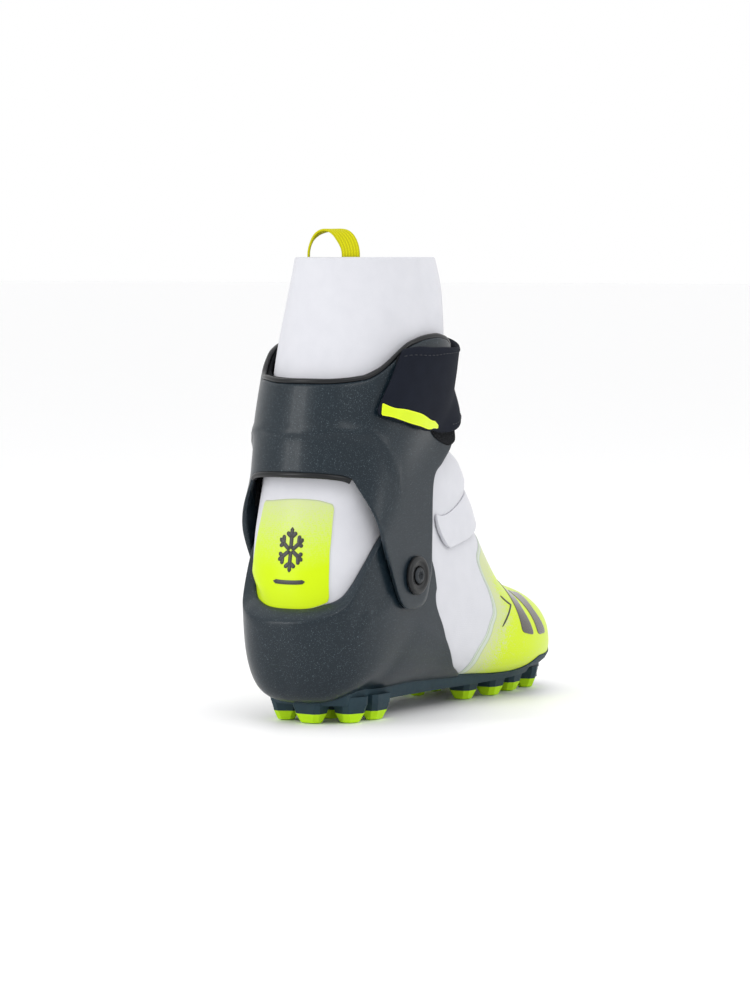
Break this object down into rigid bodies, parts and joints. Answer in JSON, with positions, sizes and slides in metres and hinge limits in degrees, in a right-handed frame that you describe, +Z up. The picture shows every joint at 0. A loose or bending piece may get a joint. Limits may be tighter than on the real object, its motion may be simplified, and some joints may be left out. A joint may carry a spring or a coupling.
{
  "type": "cross country skating boot",
  "caption": "Cross country skating boot with a hinged ankle cuff, heel chassis, softshell upper with lace cover, closing strap, pull loop and lugged sole with a steel toe bar.",
  "frame": {"origin": "on the ground under the middle of the boot: the centre of the bottom of its bounding box, at the lug tips", "axes": "+Z up, -Y towards the toe, +X towards the medial (inner) side of this right boot"},
  "size_m": [0.1038, 0.2631, 0.264],
  "materials": {
    "rubber": "matt",
    "lug_tip": "matt",
    "nylon": "matt",
    "steel": "satin",
    "board": "matt",
    "foam": "matt",
    "shell": "satin",
    "softshell": "matt",
    "film": "satin",
    "lining": "matt",
    "cord": "matt",
    "bush": "satin",
    "cap": "satin",
    "webbing": "matt",
    "strap_trim": "satin",
    "loop_tape": "matt"
  },
  "bodies": {
    "boot": {"outsole": "rubber", "heel_lug_tips": "lug_tip", "forefoot_lug_tips": "lug_tip", "bar_carrier": "nylon", "toe_bar": "steel", "sole_board": "board", "footbed": "foam", "heel_chassis": "shell", "upper": "softshell", "ankle_gusset": "softshell", "heel_padding": "lining", "toe_film": "film", "heel_patch": "film", "tongue": "foam", "eyestays": "lining", "lace_guides": "cord", "laces": "cord", "pivot_nuts": "steel", "pivot_bushes": "bush", "pivot_caps": "cap", "pivot_screws": "steel"},
    "cuff": {"cuff_shell": "shell", "cuff_lining": "lining", "arm_pads": "lining", "gaiter": "softshell", "rim_binding": "softshell", "pull_loop": "loop_tape", "strap_tab": "webbing", "strap_rivets": "steel", "hook_pad": "cord"},
    "strap": {"strap": "webbing", "strap_edge": "strap_trim", "loop_pad": "cord"},
    "cover": {"lace_cover": "softshell"},
    "lock": {"lace_lock": "cap"}
  },
  "joints": [
    {"name": "cuff_flex", "type": "hinge", "parent": "boot", "child": "cuff", "pos_m": [0, 0.065, 0.078], "axis": [1, 0, 0], "range_deg": [-8, 14], "deforming": ["ankle_gusset"]},
    {"name": "strap_opening", "type": "hinge", "parent": "cuff", "child": "strap", "pos_m": [0.0485, 0.033, 0.178], "axis": [0, 0, 1], "range_deg": [0, 110]},
    {"name": "cover_opening", "type": "hinge", "parent": "boot", "child": "cover", "pos_m": [0.022, -0.0312, 0.1009], "axis": [0, 0.342, 0.9397], "range_deg": [0, 80]},
    {"name": "lock_slide", "type": "slide", "parent": "boot", "child": "lock", "axis": [0, 0.229, 0.9734], "range_m": [0, 0.008]}
  ]
}
